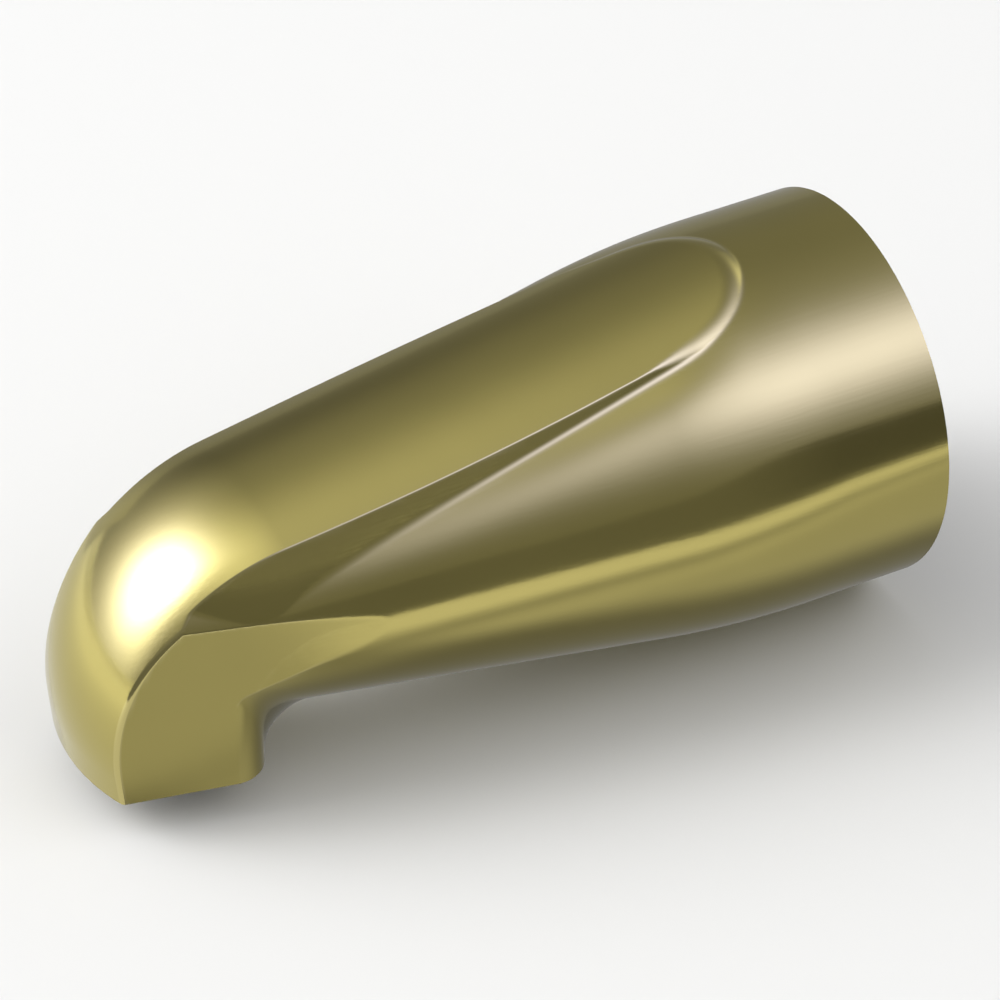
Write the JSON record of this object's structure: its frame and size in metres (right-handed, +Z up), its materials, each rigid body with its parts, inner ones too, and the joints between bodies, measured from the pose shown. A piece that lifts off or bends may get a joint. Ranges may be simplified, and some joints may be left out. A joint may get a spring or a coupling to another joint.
{
  "type": "bath spout",
  "caption": "Bath spout: a round collar tapers to a hooded nose that turns down to an open outlet between flat cheeks; it screws onto a pipe stub at the wall.",
  "frame": {"origin": "centre of the collar's flat end, where the inlet axis meets the finished wall", "axes": "+Y along the inlet axis into the wall, so the nose points along -Y; +Z up; +X across the spout"},
  "size_m": [0.06, 0.1295, 0.061],
  "materials": {
    "satin_brass": "satin polished outside, as cast inside"
  },
  "bodies": {
    "root": {"spout_body": "satin_brass"}
  },
  "joints": []
}
